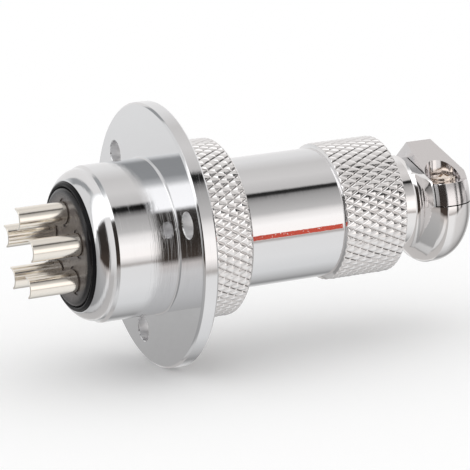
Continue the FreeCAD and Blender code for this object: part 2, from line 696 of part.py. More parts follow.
# Clamp screws: pan heads with a cross recess, seated on the lugs.
clamp_screws = []
for index, (along, across) in enumerate(screw_places, 1):
    screw = turned(f"clamp_screw_{index}", [
        ("0", "lug_height - screw_length"),
        ("screw_radius - screw_point", "lug_height - screw_length"),
        ("screw_radius", "lug_height - screw_length + screw_point"),
        ("screw_radius", "lug_height"),
        ("screw_head_radius", "lug_height"),
        ("screw_head_radius", "lug_height + screw_head_edge"),
        ("0", "lug_height + screw_head_height", "screw_head_round", 1),
    ], "V_Axis", "XZ_Plane")
    half = "recess_width / 2"
    arm = "recess_length / 2"
    pocketed(screw, "XY_Plane",
             [[(f"-{arm}", f"-{half}"), (f"-{half}", f"-{half}"), (f"-{half}", f"-{arm}"),
               (half, f"-{arm}"), (half, f"-{half}"), (arm, f"-{half}"), (arm, half),
               (half, half), (half, arm), (f"-{half}", arm), (f"-{half}", half),
               (f"-{arm}", half)]],
             "2 * screw_head_height", offset="lug_height + screw_head_height - recess_depth")
    screw.setExpression("Placement.Base.x", bound(along))
    screw.setExpression("Placement.Base.y", bound(across))
    clamp_screws.append(screw)

doc.recompute()

pieces = [receptacle_shell, receptacle_insulator, retaining_ring, *pin_contacts, plug_shell,
          plug_insulator, snap_ring, *socket_contacts, coupling_nut, backshell, clamp_saddle,
          *clamp_screws]
for item in doc.Objects:
    if {"Invalid", "Error"} & set(item.State):
        raise RuntimeError(f"{item.Label} is {item.State}")
for piece in pieces:
    if piece.Shape.isNull() or not piece.Shape.isValid():
        raise RuntimeError(f"{piece.Label} has no valid shape")
for piece in pieces:
    piece.Shape.exportStep(f"parts/{piece.Label}.step")
    print(f"{piece.Label:24s} solids {len(piece.Shape.Solids)} volume {piece.Shape.Volume:9.2f} mm3")
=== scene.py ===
import math
import bmesh
import bpy
import numpy as np
from mathutils import Matrix, Vector


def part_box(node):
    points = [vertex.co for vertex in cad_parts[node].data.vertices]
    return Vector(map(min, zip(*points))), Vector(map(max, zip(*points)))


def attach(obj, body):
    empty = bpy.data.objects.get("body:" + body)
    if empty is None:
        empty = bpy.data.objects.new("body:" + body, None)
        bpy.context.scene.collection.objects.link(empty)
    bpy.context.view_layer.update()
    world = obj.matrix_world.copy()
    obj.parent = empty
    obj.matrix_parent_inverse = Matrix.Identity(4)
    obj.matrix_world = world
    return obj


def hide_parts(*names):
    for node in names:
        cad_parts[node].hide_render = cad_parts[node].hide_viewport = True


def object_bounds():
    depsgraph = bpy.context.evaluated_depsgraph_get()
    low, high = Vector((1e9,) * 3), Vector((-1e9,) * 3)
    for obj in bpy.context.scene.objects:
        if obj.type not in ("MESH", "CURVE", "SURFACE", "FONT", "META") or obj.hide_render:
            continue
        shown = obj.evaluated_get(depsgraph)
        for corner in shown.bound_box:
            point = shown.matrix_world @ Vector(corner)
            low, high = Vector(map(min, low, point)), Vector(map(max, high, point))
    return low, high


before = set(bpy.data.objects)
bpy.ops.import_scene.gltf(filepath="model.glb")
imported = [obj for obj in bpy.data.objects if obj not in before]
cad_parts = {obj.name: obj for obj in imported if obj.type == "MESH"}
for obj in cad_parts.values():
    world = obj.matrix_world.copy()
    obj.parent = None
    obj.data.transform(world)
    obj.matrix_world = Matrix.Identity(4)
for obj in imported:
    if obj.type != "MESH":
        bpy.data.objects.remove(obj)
cad_low, cad_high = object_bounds()
mm = 0.001

# Receptacle shell: barrel, flange and threaded front, turned from one brass bar, polished
# and bright plated. The flange has three screw holes, and the front a key rib in its bore.
shell_low, shell_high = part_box("receptacle_shell")
mouth_x, rim_x, flange_radius = shell_low.x, shell_high.x, shell_high.z
flange_thickness, flange_chamfer = 2.1 * mm, 0.26 * mm
barrel_radius, barrel_length = 9.97 * mm, 8.0 * mm
bevel_length, bevel_depth = 0.4 * mm, 0.27 * mm
mouth_land, mouth_bore, mouth_depth, mouth_round = 0.22 * mm, 8.25 * mm, 2.5 * mm, 2.7 * mm
socket_bore, rim_chamfer = 8.0 * mm, 0.35 * mm
thread_radius, thread_depth, thread_pitch = 9.45 * mm, 0.42 * mm, 1.0 * mm
relief_radius, relief_length = 8.95 * mm, 0.9 * mm
hole_circle, hole_radius, hole_edge, hole_count, hole_angle = 13.2 * mm, 1.65 * mm, 0.1 * mm, 3, 15.0
key_width, key_height, key_length, key_edge, key_angle = 1.6 * mm, 0.45 * mm, 6.0 * mm, 0.1 * mm, 3.0
sharp, soft, crisp = 0.0, 0.12 * mm, 0.05 * mm
same_point, tool_skin, overrun = 1e-7, 0.01 * mm, 1 * mm


def arc(start, end, radius, side, steps=10):
    """Points between start and end on an arc whose centre is to the left (1) or right (-1)."""
    a, b = Vector(start), Vector(end)
    middle, chord = (a + b) / 2, b - a
    across = Vector((-chord.y, chord.x)).normalized()
    centre = middle + across * side * math.sqrt(max(radius ** 2 - (chord.length / 2) ** 2, 0))
    first, last = a - centre, b - centre
    turn = first.angle_signed(last)
    angles = [-turn * step / steps for step in range(1, steps)]
    return [(*(centre + Matrix.Rotation(angle, 2) @ first), sharp) for angle in angles]


def rounded(outline, steps=3):
    """The outline's points, with each corner's third entry taken as the radius of its edge."""
    points = []
    for index, (x, r, radius) in enumerate(outline):
        here = Vector((x, r))
        back = Vector(outline[index - 1][:2]) - here
        ahead = Vector(outline[(index + 1) % len(outline)][:2]) - here
        if radius == sharp or min(back.length, ahead.length) < same_point:
            points.append(here)
            continue
        half = back.angle(ahead) / 2
        reach = min(radius / math.tan(half), 0.45 * back.length, 0.45 * ahead.length)
        start, end = here + back.normalized() * reach, here + ahead.normalized() * reach
        for step in range(steps + 1):
            share = step / steps
            points.append(start.lerp(here, share).lerp(here.lerp(end, share), share))
    return points


def mesh_piece(name, verts, faces):
    """A piece from plain lists of corners and faces."""
    mesh = bpy.data.meshes.new(name)
    mesh.from_pydata([tuple(v) for v in verts], [], [tuple(f) for f in faces])
    piece = bpy.data.objects.new(name, mesh)
    bpy.context.scene.collection.objects.link(piece)
    return piece


def tidy(piece):
    """Welds the piece's doubled corners and turns every face outwards."""
    work = bmesh.new()
    work.from_mesh(piece.data)
    bmesh.ops.remove_doubles(work, verts=work.verts, dist=same_point)
    bmesh.ops.dissolve_degenerate(work, edges=work.edges, dist=same_point / 10)
    bmesh.ops.recalc_face_normals(work, faces=work.faces)
    work.to_mesh(piece.data)
    work.free()
    return piece


def turned(name, outline, around=192, steps=3):
    """A piece turned about the connector's axis from its closed half section."""
    points = rounded(outline, steps)
    total = len(points)
    verts, faces = [], []
    for turn in range(around):
        angle = 2 * math.pi * turn / around
        verts += [(p.x, -p.y * math.cos(angle), p.y * math.sin(angle)) for p in points]
        ahead = (turn + 1) % around * total
        here = turn * total
        for index in range(total):
            after = (index + 1) % total
            faces.append((here + index, here + after, ahead + after, ahead + index))
    return tidy(mesh_piece(name, verts, faces))


def cylinder(radius, x0, x1, y, z, widened=0.0, around=64):
    """A tool for cutting holes along X, wider by that much at its end x0."""
    outline = [(x0, sharp, sharp), (x0, radius + widened, sharp), (x1, radius, sharp), (x1, sharp, sharp)]
    piece = turned("hole_tool", outline, around)
    piece.data.transform(Matrix.Translation((0, y, z)))
    return piece


def box_tool(low, high, turn=None):
    """A tool for cutting flats, a box between two corners."""
    piece = mesh_piece("flat_tool", [
        (x, y, z) for x in (low[0], high[0]) for y in (low[1], high[1]) for z in (low[2], high[2])],
        [(0, 1, 3, 2), (4, 6, 7, 5), (0, 4, 5, 1), (2, 3, 7, 6), (0, 2, 6, 4), (1, 5, 7, 3)])
    if turn is not None:
        piece.data.transform(turn)
    return tidy(piece)


def settled(piece):
    """Replaces the piece's mesh with what its modifiers make of it."""
    mesh = bpy.data.meshes.new_from_object(piece.evaluated_get(bpy.context.evaluated_depsgraph_get()))
    piece.modifiers.clear()
    piece.data = mesh
    return piece


def cut(piece, tools, operation="DIFFERENCE"):
    """Cuts the tools' shapes from the piece, or joins them to it."""
    for tool in tools:
        step = piece.modifiers.new("cut", "BOOLEAN")
        step.operation = operation
        step.solver = "EXACT"
        step.object = tool
    settled(piece)
    for tool in tools:
        bpy.data.objects.remove(tool)
    return piece


def eased(piece, width=0.08 * mm, segments=2, angle=28):
    """Breaks the piece's sharp edges, as polishing does."""
    bevel = piece.modifiers.new("edges", "BEVEL")
    bevel.width = width
    bevel.segments = segments
    bevel.limit_method = "ANGLE"
    bevel.angle_limit = math.radians(angle)
    bevel.use_clamp_overlap = True
    return settled(piece)


def shaded(piece, angle=40):
    """Smooth faces that keep flats flat and real corners sharp."""
    mesh = piece.data
    mesh.polygons.foreach_set("use_smooth", [True] * len(mesh.polygons))
    work = bmesh.new()
    work.from_mesh(mesh)
    for edge in work.edges:
        edge.smooth = len(edge.link_faces) == 2 and edge.calc_face_angle(0) < math.radians(angle)
    work.to_mesh(mesh)
    work.free()
    weigh = piece.modifiers.new("flats", "WEIGHTED_NORMAL")
    weigh.weight = 60
    weigh.keep_sharp = True
    return piece


def relief(piece, radius, rows, columns, surface):
    """Puts a worked surface on a turned piece, in place of its plain faces near that radius
    from the first row to the last. surface gives the radii round the piece at a station."""
    work = bmesh.new()
    work.from_mesh(piece.data)
    nearby = 0.6 * mm
    gone = []
    for face in work.faces:
        middle = face.calc_center_median()
        if rows[0] < middle.x < rows[-1] and abs(math.hypot(middle.y, middle.z) - radius) < nearby:
            gone.append(face)
    bmesh.ops.delete(work, geom=gone, context="FACES")
    rims = []
    for station in (rows[0], rows[-1]):
        opened_edges = [edge for edge in work.edges if len(edge.link_faces) == 1
                        and all(abs(vert.co.x - station) < same_point for vert in edge.verts)]
        rims.append({vert for edge in opened_edges for vert in edge.verts})
    angles = 2 * math.pi * np.arange(columns) / columns
    heights = [surface(x, angles) for x in rows]
    grid = []
    for x, radii in zip(rows, heights):
        grid.append([work.verts.new((x, -r * math.cos(a), r * math.sin(a))) for r, a in zip(radii, angles)])
    for lower, upper, low_radii, high_radii in zip(grid, grid[1:], heights, heights[1:]):
        for column in range(columns):
            after = (column + 1) % columns
            a, b, c, d = lower[column], lower[after], upper[after], upper[column]
            rising = abs(low_radii[column] - high_radii[after])
            falling = abs(low_radii[after] - high_radii[column])
            if falling < rising:
                work.faces.new((a, b, d))
                work.faces.new((b, c, d))
            else:
                work.faces.new((a, b, c))
                work.faces.new((a, c, d))
    for edge_verts, row in zip(rims, (grid[0], grid[-1])):
        rim = sorted(edge_verts, key=lambda v: math.atan2(v.co.z, -v.co.y) % (2 * math.pi))
        share = columns // len(rim)
        for index, vert in enumerate(rim):
            following = rim[(index + 1) % len(rim)]
            fine = [row[(index * share + step) % columns] for step in range(share + 1)]
            for one, two in zip(fine, fine[1:]):
                work.faces.new((vert, one, two))
            work.faces.new((vert, fine[-1], following))
    bmesh.ops.remove_doubles(work, verts=work.verts, dist=same_point)
    bmesh.ops.recalc_face_normals(work, faces=work.faces)
    work.to_mesh(piece.data)
    work.free()
    return piece


def thread(radius, depth, pitch, low, high):
    """Radii of screw turns, which rise from a plain cylinder at both ends."""
    steepness, crest, run_out = 2.6, 0.3, 0.6 * pitch

    def surface(x, angles):
        phase = (x / pitch - angles / (2 * math.pi)) % 1.0
        flank = np.clip(np.abs(phase - 0.5) * steepness - crest, 0, 1)
        fade = min(1.0, (x - low) / run_out, (high - x) / run_out)
        return radius - depth * flank * max(fade, 0)
    return surface


def finished(name, group, bump_height, colour, **values):
    """A material whose colour, roughness and fine relief come from a finish's node group."""
    material = bpy.data.materials.new(name)
    material.use_nodes = True
    nodes, links = material.node_tree.nodes, material.node_tree.links
    shader = nodes["Principled BSDF"]
    finish = nodes.new("ShaderNodeGroup")
    finish.name = "finish"
    finish.node_tree = bpy.data.node_groups[group]
    finish.inputs["Colour"].default_value = (*colour, 1)
    for title, value in values.items():
        finish.inputs[title].default_value = value
    bump = nodes.new("ShaderNodeBump")
    bump.inputs["Distance"].default_value = bump_height
    links.new(finish.outputs["Colour"], shader.inputs["Base Color"])
    links.new(finish.outputs["Roughness"], shader.inputs["Roughness"])
    links.new(finish.outputs["Height"], bump.inputs["Height"])
    links.new(bump.outputs["Normal"], shader.inputs["Normal"])
    return material


def plating(name, colour, roughness, waves=0.0, turning=0.0, grime_and_shade=0.0):
    """Bright plated metal: a mirror with faint waves, turning marks, and grime with painted shade in its
    hollows.
    """
    material = finished(name, "plated_finish", 0.01 * mm, colour, Roughness=roughness, Waves=waves,
                        Turning=turning, Dirt=grime_and_shade)
    material.node_tree.nodes["Principled BSDF"].inputs["Metallic"].default_value = 1.0
    return material


def shader_group(name, inputs, outputs):
    """An empty node group with the named inputs, given as (name, kind, default), and outputs."""
    group = bpy.data.node_groups.new(name, "ShaderNodeTree")
    for title, kind, default in inputs:
        group.interface.new_socket(title, in_out="INPUT", socket_type=kind).default_value = default
    for title, kind in outputs:
        group.interface.new_socket(title, in_out="OUTPUT", socket_type=kind)
    return group, group.nodes.new("NodeGroupInput"), group.nodes.new("NodeGroupOutput")


def noise(group, scale, detail=2.0, stretch=(1, 1, 1)):
    """A noise over the piece, whose scale is in cycles a metre, stretched along an axis."""
    place = group.nodes.new("ShaderNodeTexCoord")
    spread = group.nodes.new("ShaderNodeMapping")
    spread.inputs["Scale"].default_value = stretch
    texture = group.nodes.new("ShaderNodeTexNoise")
    texture.inputs["Scale"].default_value = scale
    texture.inputs["Detail"].default_value = detail
    group.links.new(place.outputs["Object"], spread.inputs["Vector"])
    group.links.new(spread.outputs["Vector"], texture.inputs["Vector"])
    return texture.outputs["Fac"]


def feed(group, values):
    """Gives each input a socket to follow or a plain value."""
    for socket, value in values:
        if isinstance(value, bpy.types.NodeSocket):
            group.links.new(value, socket)
        else:
            socket.default_value = value


def maths(group, operation, first, second=0.0, clamp=False):
    """One arithmetic node between sockets or numbers."""
    node = group.nodes.new("ShaderNodeMath")
    node.operation = operation
    node.use_clamp = clamp
    feed(group, zip(node.inputs, (first, second)))
    return node.outputs[0]


def mixed(group, factor, one, two, blend="MIX"):
    """One colour over another."""
    node = group.nodes.new("ShaderNodeMix")
    node.data_type = "RGBA"
    node.blend_type = blend
    feed(group, [(node.inputs["Factor"], factor), (node.inputs["A"], one), (node.inputs["B"], two)])
    return node.outputs["Result"]


group, given, made = shader_group("plated_finish", [
    ("Colour", "NodeSocketColor", (0.8, 0.8, 0.8, 1)), ("Roughness", "NodeSocketFloat", 0.05),
    ("Waves", "NodeSocketFloat", 0.0), ("Turning", "NodeSocketFloat", 0.0),
    ("Dirt", "NodeSocketFloat", 0.0)],
    [("Colour", "NodeSocketColor"), ("Roughness", "NodeSocketFloat"), ("Height", "NodeSocketFloat")])
cloud_scale, grain_scale, lathe_scale = 260.0, 9000.0, 15000.0
grain_share, grime_and_shade_colour, grime_and_shade_strength, grime_roughness = 0.02, (0.30, 0.27, 0.25, 1), 1.6, 0.25
clouds = noise(group, cloud_scale, 3.0)
grain = noise(group, grain_scale, 2.0)
lathe_lines = noise(group, lathe_scale, 1.0, (1, 0.01, 0.01))
hollow = group.nodes.new("ShaderNodeAttribute")
hollow.attribute_name = "hollow"
# Grime and painted shade: the colour is darkened in the knurl's hollows, patchy with the clouds, where shade
# falls in the grooves.
grime_and_shade_mask = maths(group, "MULTIPLY", hollow.outputs["Fac"], clouds)
grime_and_shade_mask = maths(group, "MULTIPLY", grime_and_shade_mask, given.outputs["Dirt"])
grimed_and_shaded = mixed(group, maths(group, "MULTIPLY", grime_and_shade_mask, grime_and_shade_strength, True), given.outputs["Colour"],
              grime_and_shade_colour, "MULTIPLY")
rough = maths(group, "MULTIPLY", given.outputs["Roughness"], maths(group, "ADD", clouds, 0.5))
rough = maths(group, "ADD", rough, maths(group, "MULTIPLY", grime_and_shade_mask, grime_roughness))
height = maths(group, "MULTIPLY", clouds, given.outputs["Waves"])
height = maths(group, "ADD", height, maths(group, "MULTIPLY", lathe_lines, given.outputs["Turning"]))
fine_height = maths(group, "MULTIPLY", grain, maths(group, "MULTIPLY", given.outputs["Waves"], grain_share))
height = maths(group, "ADD", height, fine_height)
feed(group, zip(made.inputs, (grimed_and_shaded, rough, height)))
chrome = plating("bright_plate", (0.80, 0.80, 0.81), 0.06, waves=1.2, turning=0.7)

step_x = -barrel_length - bevel_length
shoulder_x = mouth_x + mouth_depth
thread_start, thread_end = flange_thickness + relief_length, rim_x - rim_chamfer
receptacle_shell = turned("receptacle_shell_dressed", [
    (mouth_x, mouth_bore, crisp), (shoulder_x, mouth_bore, sharp), (shoulder_x, socket_bore, crisp),
    (rim_x, socket_bore, crisp), (rim_x, thread_radius - rim_chamfer, crisp),
    (thread_end, thread_radius, sharp), (thread_start, thread_radius, sharp),
    (thread_start, relief_radius, sharp), (flange_thickness, relief_radius, crisp),
    (flange_thickness, flange_radius - flange_chamfer, crisp),
    (flange_thickness - flange_chamfer, flange_radius, crisp), (flange_chamfer, flange_radius, crisp),
    (0, flange_radius - flange_chamfer, crisp), (0, barrel_radius, soft * 2),
    (-barrel_length, barrel_radius, crisp), (step_x, barrel_radius - bevel_depth, crisp),
    *arc((step_x, barrel_radius - bevel_depth), (mouth_x, mouth_bore + mouth_land), mouth_round, 1),
    (mouth_x, mouth_bore + mouth_land, crisp)])
holes, hole_places = [], []
for hole in range(hole_count):
    angle = math.radians(hole_angle + 360 * hole / hole_count)
    y, z = -hole_circle * math.cos(angle), hole_circle * math.sin(angle)
    hole_places.append((y, z))
    holes.append(cylinder(hole_radius, -overrun, flange_thickness + overrun, y, z))
    for face, inwards in ((0, 1), (flange_thickness, -1)):
        outside, inside = face - inwards * tool_skin, face + inwards * hole_edge
        holes.append(cylinder(hole_radius, outside, inside, y, z, hole_edge))
cut(receptacle_shell, holes)
key = box_tool((rim_x - rim_chamfer - key_length, -socket_bore - key_height / 2, -key_width / 2),
               (rim_x - rim_chamfer, -socket_bore + key_height, key_width / 2),
               Matrix.Rotation(-math.radians(key_angle), 4, "X"))
cut(receptacle_shell, [eased(key, key_edge)], "UNION")
relief(receptacle_shell, thread_radius, np.linspace(thread_start, thread_end, 41), 192,
       thread(thread_radius, thread_depth, thread_pitch, thread_start, thread_end))
shaded(receptacle_shell)
receptacle_shell.data.materials.append(chrome)
receptacle_shell.data.materials.append(plating("drilled_plate", (0.86, 0.86, 0.87), 0.42, waves=3.0))
for face in receptacle_shell.data.polygons:
    if 0 < face.center.x < flange_thickness:
        reach = min(math.hypot(face.center.y - y, face.center.z - z) for y, z in hole_places)
        face.material_index = 1 if reach < hole_radius + 0.5 * hole_edge else 0
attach(receptacle_shell, "receptacle")
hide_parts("receptacle_shell")

# Receptacle insulator: a dark resin disc, moulded with a flange and five holes for the
# contacts. It is pushed in from the mouth, and its face stands a little proud of it.
insulator_low, insulator_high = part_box("receptacle_insulator")
face_radius, face_x, face_round = 7.55 * mm, insulator_low.x, 0.6 * mm
contact_circle, contact_angle, contact_count = 4.5 * mm, 15.0, 5
shank_radius, seat_radius, seat_depth, contact_gap = 1.25 * mm, 1.85 * mm, 0.15 * mm, 0.02 * mm
insulator_flange, fit_gap = 2.2 * mm, 0.04 * mm
contact_places = []
for place in range(contact_count):
    angle = math.radians(contact_angle + 360 * place / contact_count)
    contact_places.append((-contact_circle * math.cos(angle), contact_circle * math.sin(angle)))


def axes(group, kind="Object"):
    """The place on the piece, or the direction of sight, as sockets X, Y and Z."""
    place = group.nodes.new("ShaderNodeTexCoord")
    parts = group.nodes.new("ShaderNodeSeparateXYZ")
    group.links.new(place.outputs[kind], parts.inputs["Vector"])
    return parts.outputs


def moulded(name, colour, roughness, speckle):
    """Moulded resin or rubber with a fine grain and a few paler worn patches."""
    return finished(name, "moulded_finish", 0.02 * mm, colour, Roughness=roughness, Speckle=speckle)


group, given, made = shader_group("moulded_finish", [
    ("Colour", "NodeSocketColor", (0.05, 0.05, 0.05, 1)), ("Roughness", "NodeSocketFloat", 0.4),
    ("Speckle", "NodeSocketFloat", 0.1)],
    [("Colour", "NodeSocketColor"), ("Roughness", "NodeSocketFloat"), ("Height", "NodeSocketFloat")])
patch_scale, speck_scale, patch_share, worn_colour = 420.0, 14000.0, 0.7, (0.30, 0.28, 0.26, 1)
patches, specks = noise(group, patch_scale, 4.0), noise(group, speck_scale, 2.0)
mottle = maths(group, "ADD", maths(group, "MULTIPLY", patches, patch_share),
               maths(group, "MULTIPLY", specks, 1 - patch_share))
worn = mixed(group, maths(group, "MULTIPLY", mottle, given.outputs["Speckle"]), given.outputs["Colour"],
             worn_colour, "ADD")
rough = maths(group, "MULTIPLY", given.outputs["Roughness"], maths(group, "ADD", mottle, 0.55))
feed(group, zip(made.inputs, (worn, rough, mottle)))
dark_resin = moulded("dark_resin", (0.062, 0.051, 0.049), 0.24, 0.24)
# Painted shade: the resin's base colour darkens to near black over the face's outer 1.3 mm and its rounded
# rim.
rim_width, rim_fade, rim_shade_colour = 1.3 * mm, 1100.0, (0.010, 0.009, 0.010, 1)
tree = dark_resin.node_tree
parts = axes(tree)
squares = [maths(tree, "POWER", parts[axis], 2.0) for axis in ("Y", "Z")]
from_axis = maths(tree, "SQRT", maths(tree, "ADD", *squares))
painted_rim_shade = maths(tree, "MULTIPLY", maths(tree, "SUBTRACT", from_axis, face_radius - rim_width), rim_fade, True)
rim_shaded = mixed(tree, painted_rim_shade, tree.nodes["finish"].outputs["Colour"], rim_shade_colour)
tree.links.new(rim_shaded, tree.nodes["Principled BSDF"].inputs["Base Color"])


def insulator(name, outline, bores):
    """A moulded disc with bores at each contact's place, given as radius, start and end."""
    piece = turned(name, outline, 160)
    cut(piece, [cylinder(*bore, y, z, 0, 48) for bore in bores for y, z in contact_places])
    shaded(piece, 30)
    piece.data.materials.append(dark_resin)
    return piece


flange_back = shoulder_x - insulator_flange
rim_start, rim_stop = (face_x, face_radius - face_round), (face_x + face_round, face_radius)
receptacle_insulator = insulator("receptacle_insulator_dressed", [
    (face_x, sharp, sharp), (*rim_start, sharp), *arc(rim_start, rim_stop, face_round, -1, 6),
    (*rim_stop, sharp), (flange_back, face_radius, sharp),
    (flange_back, mouth_bore - fit_gap, crisp), (shoulder_x, mouth_bore - fit_gap, crisp),
    (shoulder_x, socket_bore - fit_gap, sharp), (insulator_high.x, socket_bore - fit_gap, soft),
    (insulator_high.x, sharp, sharp)],
    [(shank_radius + contact_gap, face_x - overrun, insulator_high.x + overrun),
     (seat_radius, face_x - overrun, face_x + seat_depth)])
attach(receptacle_insulator, "receptacle")
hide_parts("receptacle_insulator")

# Retaining ring: a glossy black ring of round section, pressed in the mouth round the
# insulator's face.
ring_section, ring_steps = 0.33 * mm, 24
ring_low, ring_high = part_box("retaining_ring")
ring_middle, ring_radius = (ring_low.x + ring_high.x) / 2, ring_high.z - ring_section
ring_outline = []
for step in range(ring_steps):
    angle = 2 * math.pi * step / ring_steps
    x, r = ring_middle + ring_section * math.cos(angle), ring_radius + ring_section * math.sin(angle)
    ring_outline.append((x, r, sharp))
retaining_ring = shaded(turned("retaining_ring_dressed", ring_outline, 160), 60)
black_rubber = moulded("black_ring", (0.004, 0.004, 0.005), 0.26, 0.005)
black_rubber.node_tree.nodes["Principled BSDF"].inputs["Specular IOR Level"].default_value = 0.12
retaining_ring.data.materials.append(black_rubber)
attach(retaining_ring, "receptacle")
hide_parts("retaining_ring")

# Pin contacts: turned brass, silver plated. Each has its solder cup behind the insulator,
# drilled from the tip and milled open on the far side, and a round-nosed pin in front.
cup_radius, cup_bore, cup_edge, cup_lip, broken_edge = 1.45 * mm, 1.19 * mm, 0.06 * mm, 0.04 * mm, 0.035 * mm
cup_closed, drill_rise, cut_offset, cut_angle, cutter_radius = 1.15 * mm, 0.1 * mm, 0.2 * mm, 10.0, 1.5 * mm
pin_low, pin_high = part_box("pin_contact_1")
cup_tip, pin_tip, pin_radius = pin_low.x, pin_high.x, 1.0 * mm
cup_floor = face_x - cup_closed
silver = plating("contact_silver", (0.96, 0.91, 0.835), 0.16, waves=2.0, turning=0.05)


def prism(outline, low, high, place):
    """A tool for milling: an outline drawn out along its normal from low to high, then placed."""
    total = len(outline)
    corners = [(point[0], point[1], level) for level in (low, high) for point in outline]
    sides = [(k, (k + 1) % total, total + (k + 1) % total, total + k) for k in range(total)]
    ends = [tuple(range(total)), tuple(range(2 * total - 1, total - 1, -1))]
    tool = mesh_piece("milling_tool", corners, ends + sides)
    tool.data.transform(place)
    return tidy(tool)


def opened(piece, floor, tip):
    """Mills the far side of a solder cup away, with the cutter's round at its closed end."""
    away = 1 if tip > floor else -1
    far, high = tip + away * cup_radius, 2 * cup_radius
    bend, end = (floor + away * cutter_radius, -cut_offset), (floor, cutter_radius - cut_offset)
    outline = [(far, -cut_offset), bend, *arc(bend, end, cutter_radius, -away, 10), end, (floor, high),
               (far, high)]
    return cut(piece, [prism(outline, -high, high, Matrix.Rotation(-math.radians(cut_angle), 4, "X"))])


def set_out(first, stem, places, body=None):
    """Sets out a piece and its copies, each in the place of its own solid. They ride on one body, or each on
    the body that has its solid's name."""
    pieces = []
    for number, place in enumerate(places, 1):
        piece = first.copy() if pieces else first
        if pieces:
            bpy.context.scene.collection.objects.link(piece)
        pieces.append(piece)
        node = f"{stem}_{number}"
        piece.name = f"{node}_dressed"
        piece.location = place
        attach(piece, body or node)
        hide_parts(node)
    return pieces


pin = turned("pin_contact_shape", [
    (cup_floor + drill_rise, sharp, sharp), (cup_floor - 0.5 * cup_bore, cup_bore, soft),
    (cup_tip, cup_bore, cup_lip), (cup_tip, cup_radius, cup_edge),
    (face_x + seat_depth, cup_radius, sharp), (face_x + seat_depth, shank_radius, sharp),
    (insulator_high.x, shank_radius, crisp), (insulator_high.x, pin_radius, sharp),
    (pin_tip - pin_radius, pin_radius, sharp),
    *arc((pin_tip - pin_radius, pin_radius), (pin_tip, 0), pin_radius, -1), (pin_tip, sharp, sharp)], 64)
opened(pin, cup_floor, cup_tip)
eased(pin, broken_edge, 2, 35)
shaded(pin, 35)
pin.data.materials.append(silver)
set_out(pin, "pin_contact", [(0, y, z) for y, z in contact_places], "receptacle")

# Plug shell: nose with a keyway, collar and smooth barrel, turned and bright plated. A red
# painted line along the barrel shows where the key is.
plug_low, plug_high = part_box("plug_shell")
nose_x, barrel_end = plug_low.x, plug_high.x
seat_gap, collar_thickness, key_side_gap, key_top_gap = 0.05 * mm, 0.75 * mm, 0.15 * mm, 0.1 * mm
collar_x, collar_back = rim_x + seat_gap, rim_x + seat_gap + collar_thickness
nose_radius, nose_bore, plug_radius, rear_bore = 7.85 * mm, 7.2 * mm, 8.39 * mm, 7.7 * mm
collar_radius, lip = 9.2 * mm, 0.3 * mm
plug_insulator_low, plug_insulator_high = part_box("plug_insulator")
groove_width, groove_depth, rear_length = 0.7 * mm, 0.35 * mm, 4.8 * mm
line_start, line_end, line_width, line_angle = 9.0 * mm, 23.45 * mm, 0.62 * mm, math.radians(-3.2)
plug_shell = turned("plug_shell_dressed", [
    (nose_x, nose_bore - groove_depth, crisp), (plug_insulator_low.x, nose_bore - groove_depth, sharp),
    (plug_insulator_low.x, nose_bore, sharp), (plug_insulator_high.x, nose_bore, crisp),
    (plug_insulator_high.x, nose_bore + groove_depth, sharp),
    (plug_insulator_high.x + groove_width, nose_bore + groove_depth, sharp),
    (plug_insulator_high.x + groove_width, nose_bore, crisp), (barrel_end - rear_length, nose_bore, crisp),
    (barrel_end - rear_length, rear_bore, sharp), (barrel_end, rear_bore, crisp),
    (barrel_end, plug_radius, crisp), (collar_back, plug_radius, sharp), (collar_back, collar_radius, crisp),
    (collar_x, collar_radius, crisp), (collar_x, nose_radius, sharp),
    (nose_x + lip, nose_radius, crisp), (nose_x, nose_radius - lip, crisp)])
keyway = box_tool((nose_x - overrun, -nose_radius - key_height, -key_width / 2 - key_side_gap),
                  (collar_x, -socket_bore + key_height + key_top_gap, key_width / 2 + key_side_gap),
                  Matrix.Rotation(-math.radians(key_angle), 4, "X"))
cut(plug_shell, [keyway])
shaded(plug_shell)
lined = plating("bright_plate_lined", (0.80, 0.80, 0.81), 0.06, waves=1.2, turning=0.22)
line_red, paint_roughness, side_fade, end_fade = (0.56, 0.055, 0.024, 1), 0.34, 40000.0, 20000.0
ragged_edge, ragged_scale, chip_scale, chipped = 0.16 * mm, 1900.0, 4200.0, 0.33
tree = lined.node_tree
shader, finish, parts = tree.nodes["Principled BSDF"], tree.nodes["finish"], axes(tree)
from_line = maths(tree, "ABSOLUTE", maths(tree, "SUBTRACT", parts["Z"], plug_radius * math.sin(line_angle)))
ragged = maths(tree, "MULTIPLY", maths(tree, "SUBTRACT", noise(tree, ragged_scale, 3.0), 0.5), ragged_edge)
within = maths(tree, "SUBTRACT", line_width / 2, maths(tree, "ADD", from_line, ragged))
masks = [maths(tree, "MULTIPLY", within, side_fade, True),
         maths(tree, "MULTIPLY", maths(tree, "SUBTRACT", line_end, parts["X"]), end_fade, True),
         maths(tree, "MULTIPLY", maths(tree, "SUBTRACT", parts["X"], line_start), end_fade, True),
         maths(tree, "LESS_THAN", parts["Y"], 0.0),
         maths(tree, "GREATER_THAN", noise(tree, chip_scale, 2.0), chipped)]
paint = masks[0]
for mask in masks[1:]:
    paint = maths(tree, "MULTIPLY", paint, mask)
tree.links.new(mixed(tree, paint, finish.outputs["Colour"], line_red), shader.inputs["Base Color"])
tree.links.new(maths(tree, "SUBTRACT", 1.0, paint), shader.inputs["Metallic"])
painted = maths(tree, "MULTIPLY", paint, paint_roughness)
tree.links.new(maths(tree, "ADD", painted, finish.outputs["Roughness"]), shader.inputs["Roughness"])
plug_shell.data.materials.append(lined)
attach(plug_shell, "plug")
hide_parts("plug_shell")

